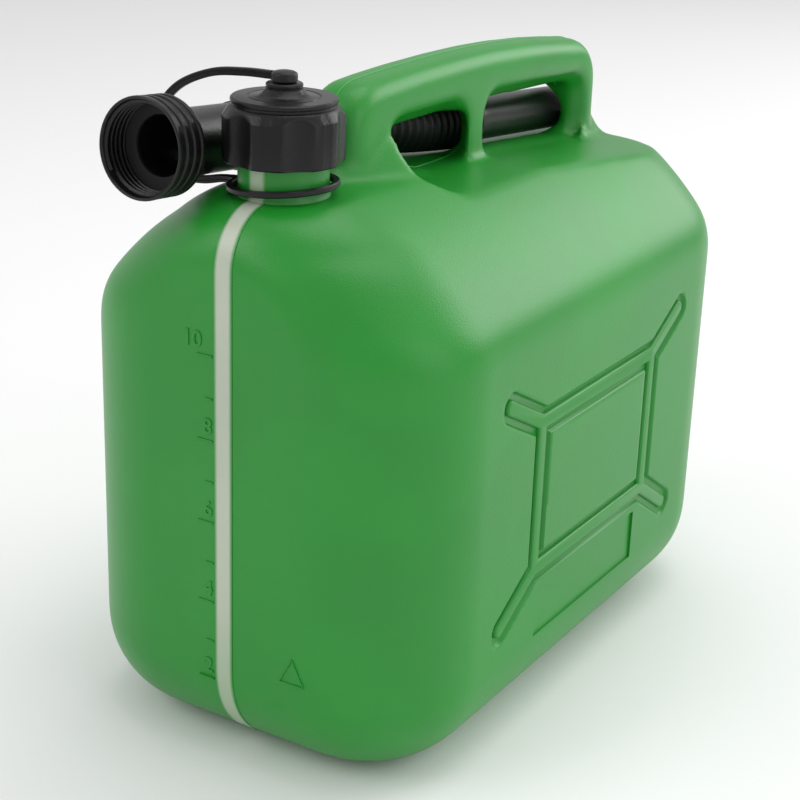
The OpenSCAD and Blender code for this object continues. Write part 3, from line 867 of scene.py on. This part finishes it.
FOLDS, HOSE_L = 30, NOZZLE_Y - BELLOWS_Y
fold = (HOSE_L - 0.6) / FOLDS
hose_profile = []
for k in range(FOLDS):
    hose_profile += [(11.0, (k + 0.0) * fold), (11.2, (k + 0.16) * fold), (12.5, (k + 0.3) * fold),
                     (12.95, (k + 0.42) * fold), (12.95, (k + 0.62) * fold),
                     (12.5, (k + 0.74) * fold), (11.2, (k + 0.88) * fold)]
hose_profile += [(11.0, FOLDS * fold), (9.2, FOLDS * fold), (9.2, 0)]
hose_bm = turned(hose_profile, 40)
bmesh.ops.subdivide_edges(
    hose_bm, cuts=20,
    edges=[e for e in hose_bm.edges if abs(e.verts[0].co.z - e.verts[1].co.z) > 20])
for v in hose_bm.verts:
    y = BELLOWS_Y + 0.3 + v.co.z
    mid = spout_mid(y)
    v.co = (mid.x + v.co.x, y, mid.z - v.co.y)
bmesh.ops.recalc_face_normals(hose_bm, faces=hose_bm.faces)
hose = made(hose_bm, "corrugated_hose")
dressed(hose, black_soft)
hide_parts("spout_bellows")
BELLOWS_Y / 1000
NOZZLE_Y / 1000
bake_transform(hose)

NOZZLE_L = (97 - 1.3) / COS
nozzle_bm = turned([
    (8.9, -0.4), (9.3, 0.0), (10.3, 0.0), (10.7, -0.4), (10.7, -6.0), (10.55, -6.6),
    (10.55, -NOZZLE_L + 7), (10.4, -NOZZLE_L + 4), (9.7, -NOZZLE_L + 0.6), (9.4, -NOZZLE_L + 0.1),
    (9.1, -NOZZLE_L + 0.1), (8.9, -NOZZLE_L + 0.4)], 80)
nozzle = made(nozzle_bm, "pouring_nozzle", on_spout(NOZZLE_Y + 1.3))
dressed(nozzle, black)
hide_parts("spout_nozzle")
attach(nozzle, "nozzle")

# Floor, backdrop, lights and camera: a plain pale studio.
floor_bm = bmesh.new()
bmesh.ops.create_grid(floor_bm, x_segments=1, y_segments=1, size=6000)
floor = made(floor_bm, "floor")
floor_mat = bpy.data.materials.new("floor_white")
floor_mat.use_nodes = True
floor_mat.node_tree.nodes["Principled BSDF"].inputs["Base Color"].default_value = (0.9, 0.9, 0.9, 1)
floor_mat.node_tree.nodes["Principled BSDF"].inputs["Roughness"].default_value = 0.9
dressed(floor, floor_mat)

world = bpy.data.worlds.new("studio")
world.use_nodes = True
world.node_tree.nodes["Background"].inputs[0].default_value = (1, 1, 1, 1)
world.node_tree.nodes["Background"].inputs[1].default_value = 0.66
bpy.context.scene.world = world


def lamp(name, place, aim, size, power):
    light = bpy.data.lights.new(name, "AREA")
    light.shape, light.size, light.size_y, light.energy = "RECTANGLE", size[0], size[1], power
    holder = bpy.data.objects.new(name, light)
    bpy.context.scene.collection.objects.link(holder)
    holder.location = place
    holder.rotation_euler = (Vector(aim) - Vector(place)).to_track_quat("-Z", "Y").to_euler()
    return holder


lamp("key", (-0.9, -1.3, 1.3), (0, 0, 0.15), (1.0, 1.0), 7)
lamp("side", (1.7, -0.2, 0.9), (0, 0, 0.15), (1.0, 1.4), 5)
lamp("top", (0.1, 0.3, 1.7), (0, 0, 0.2), (1.2, 1.2), 8)
lamp("behind", (1.0, 1.9, 1.2), (0, 0, 0.2), (1.8, 1.2), 20)

camera_data = bpy.data.cameras.new("camera")
camera = bpy.data.objects.new("camera", camera_data)
bpy.context.scene.collection.objects.link(camera)
camera_data.lens, camera_data.sensor_width = 80.15, 36
heading, height, roll = math.radians(31.214), math.radians(20.83), math.radians(1.989)
camera.location = (0.4055, -0.6905, 0.4236)
right = Vector((math.cos(heading), math.sin(heading), 0))
ahead = Vector((-math.sin(heading) * math.cos(height), math.cos(heading) * math.cos(height),
                -math.sin(height)))
up = right.cross(ahead)
turned_right = right * math.cos(roll) + up * math.sin(roll)
turned_up = up * math.cos(roll) - right * math.sin(roll)
camera.matrix_world = Matrix.Translation(camera.location) @ Matrix(
    (turned_right, turned_up, -ahead)).transposed().to_4x4()
bpy.context.scene.camera = camera
bpy.context.scene.view_settings.view_transform = "Standard"
